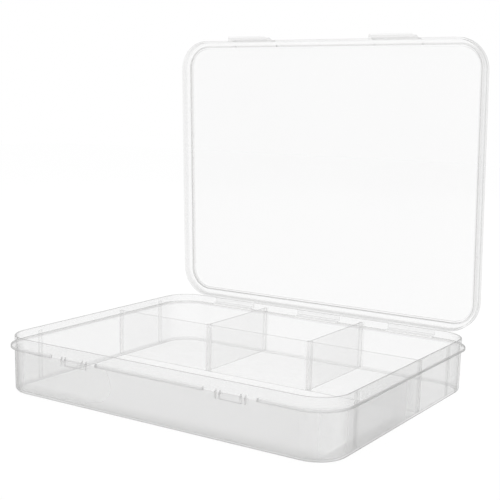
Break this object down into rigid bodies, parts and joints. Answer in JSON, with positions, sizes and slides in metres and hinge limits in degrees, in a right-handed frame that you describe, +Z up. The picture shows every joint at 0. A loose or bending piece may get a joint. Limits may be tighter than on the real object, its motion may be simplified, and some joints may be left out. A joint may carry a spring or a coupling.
{
  "type": "compartment box",
  "caption": "Shallow translucent box with rounded corners, a strip-hinged snap lid and lift-out dividers that part it into compartments.",
  "frame": {"origin": "middle of the tray's underside, on the surface that the box stands on", "axes": "+X along the long side to the right seen from the front, -Y towards the latches, +Y towards the hinge, +Z up"},
  "size_m": [0.2716, 0.2323, 0.26],
  "materials": {
    "tray_plastic": "translucent natural polypropylene, satin outside",
    "lid_plastic": "clear natural polypropylene, gloss",
    "divider_plastic": "translucent natural polypropylene, gloss"
  },
  "bodies": {
    "tray": {"base_tray": "tray_plastic", "hinge_strip_left": "lid_plastic", "hinge_strip_centre": "lid_plastic", "hinge_strip_right": "lid_plastic"},
    "lid": {"lid": "lid_plastic"},
    "latch_left": {"latch_tab_left": "lid_plastic"},
    "latch_right": {"latch_tab_right": "lid_plastic"},
    "long_divider": {"long_divider": "divider_plastic"},
    "cross_divider_left": {"cross_divider_left": "divider_plastic"},
    "cross_divider_right": {"cross_divider_right": "divider_plastic"}
  },
  "joints": [
    {"name": "lid_hinge", "type": "hinge", "parent": "tray", "child": "lid", "pos_m": [0, 0.1142, 0.03385], "axis": [-1, 0, 0], "range_deg": [-87.3, 92.7]},
    {"name": "latch_left_flex", "type": "hinge", "parent": "lid", "child": "latch_left", "pos_m": [-0.0635, 0.10854, 0.25693], "axis": [-1, 0, 0], "range_deg": [0, 10], "stiffness_Nm_per_rad": 0.3},
    {"name": "latch_right_flex", "type": "hinge", "parent": "lid", "child": "latch_right", "pos_m": [0.0635, 0.10854, 0.25693], "axis": [-1, 0, 0], "range_deg": [0, 10], "stiffness_Nm_per_rad": 0.3},
    {"name": "long_divider_lift", "type": "slide", "parent": "tray", "child": "long_divider", "axis": [0, 0, 1], "range_m": [0, 0.045]},
    {"name": "cross_divider_left_lift", "type": "slide", "parent": "tray", "child": "cross_divider_left", "axis": [0, 0, 1], "range_m": [0, 0.045]},
    {"name": "cross_divider_right_lift", "type": "slide", "parent": "tray", "child": "cross_divider_right", "axis": [0, 0, 1], "range_m": [0, 0.045]}
  ]
}
